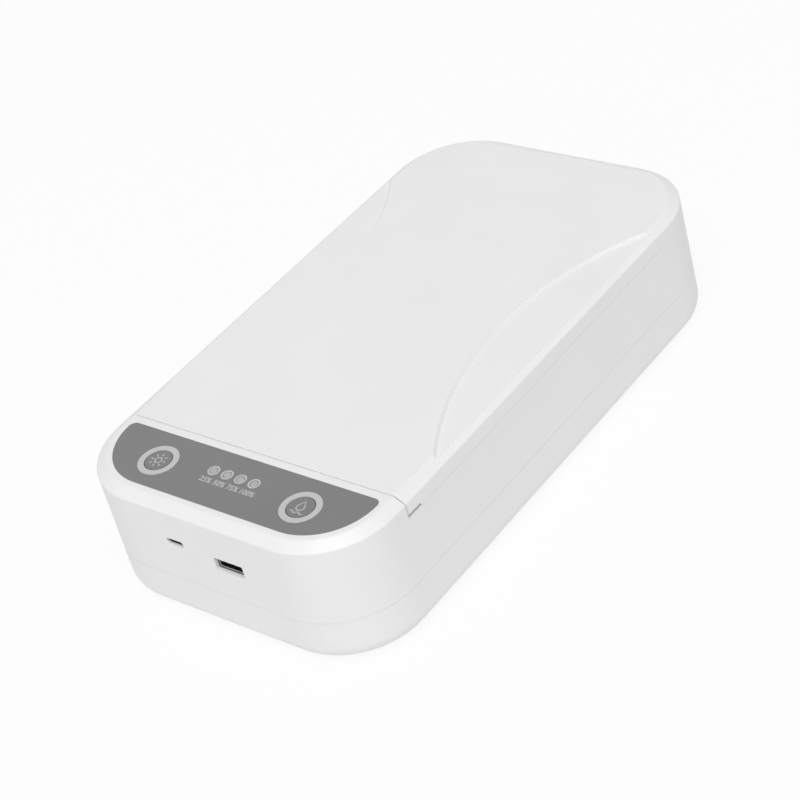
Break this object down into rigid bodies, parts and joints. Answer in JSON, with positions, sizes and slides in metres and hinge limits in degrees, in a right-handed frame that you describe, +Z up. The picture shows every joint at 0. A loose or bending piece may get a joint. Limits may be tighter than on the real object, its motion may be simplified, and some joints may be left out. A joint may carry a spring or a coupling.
{
  "type": "pacifier sterilizer case",
  "caption": "Rounded white box with a control deck, a chamber with support ribs and a hinged lid that holds ultraviolet lamp tubes.",
  "frame": {"origin": "on the floor, under the middle of the case", "axes": "+Z up, +Y from the control deck towards the far end of the lid, +X to the right seen from the control deck"},
  "size_m": [0.1236, 0.2254, 0.0505],
  "materials": {
    "white_shell": "satin moulded ABS, white",
    "white_inner": "moulded ABS, white",
    "bright_sheet": "polished aluminium sheet",
    "grey_panel": "satin mid grey printed sheet",
    "light_guide": "light grey translucent plastic",
    "grey_lens": "smoked translucent plastic",
    "circuit_board": "green solder mask",
    "lamp_chip": "pale moulded package",
    "black_plastic": "black moulded plastic",
    "plated_steel": "nickel plated steel",
    "ferrite": "dark grey ferrite",
    "capacitor_sleeve": "dark blue sleeve",
    "heater_ceramic": "unglazed ceramic",
    "felt_pad": "pressed white felt",
    "magnet": "nickel plated magnet",
    "foot_rubber": "grey rubber",
    "quartz_tube": "clear quartz glass",
    "lamp_silicone": "pale silicone"
  },
  "bodies": {
    "base": {"housing": "white_shell", "bottom_cover": "white_shell", "chamber_tub": "white_inner", "chamber_reflector": "bright_sheet", "control_panel": "grey_panel", "key_rings": "light_guide", "led_bezels": "light_guide", "light_pipes": "grey_lens", "main_board": "circuit_board", "status_leds": "lamp_chip", "key_switches": "black_plastic", "usb_socket": "plated_steel", "usb_tongue": "black_plastic", "micro_socket": "plated_steel", "micro_tongue": "black_plastic", "driver_board": "circuit_board", "driver_transformer": "ferrite", "driver_capacitors": "capacitor_sleeve", "aroma_heater": "heater_ceramic", "aroma_pad": "felt_pad", "aroma_grille": "white_inner", "lid_sensor": "black_plastic", "base_magnets": "magnet", "hinge_pins": "plated_steel", "case_screws": "plated_steel", "board_screws": "plated_steel", "rubber_feet": "foot_rubber"},
    "lid": {"lid_shell": "white_shell", "lid_liner": "white_inner", "lamp_reflectors": "bright_sheet", "uv_lamps": "quartz_tube", "lamp_holders": "lamp_silicone", "lid_magnets": "magnet", "sensor_magnet": "magnet", "liner_screws": "plated_steel"},
    "left_key_body": {"left_key": "grey_panel"},
    "right_key_body": {"right_key": "grey_panel"}
  },
  "joints": [
    {"name": "lid_hinge", "type": "hinge", "parent": "base", "child": "lid", "pos_m": [0, -0.07433, 0.0477], "axis": [1, 0, 0], "range_deg": [0, 95]},
    {"name": "left_key_press", "type": "slide", "parent": "base", "child": "left_key_body", "axis": [0, 0, -1], "range_m": [0, 0.0004], "stiffness_N_per_m": 400, "springref_m": -0.0005},
    {"name": "right_key_press", "type": "slide", "parent": "base", "child": "right_key_body", "axis": [0, 0, -1], "range_m": [0, 0.0004], "stiffness_N_per_m": 400, "springref_m": -0.0005}
  ]
}
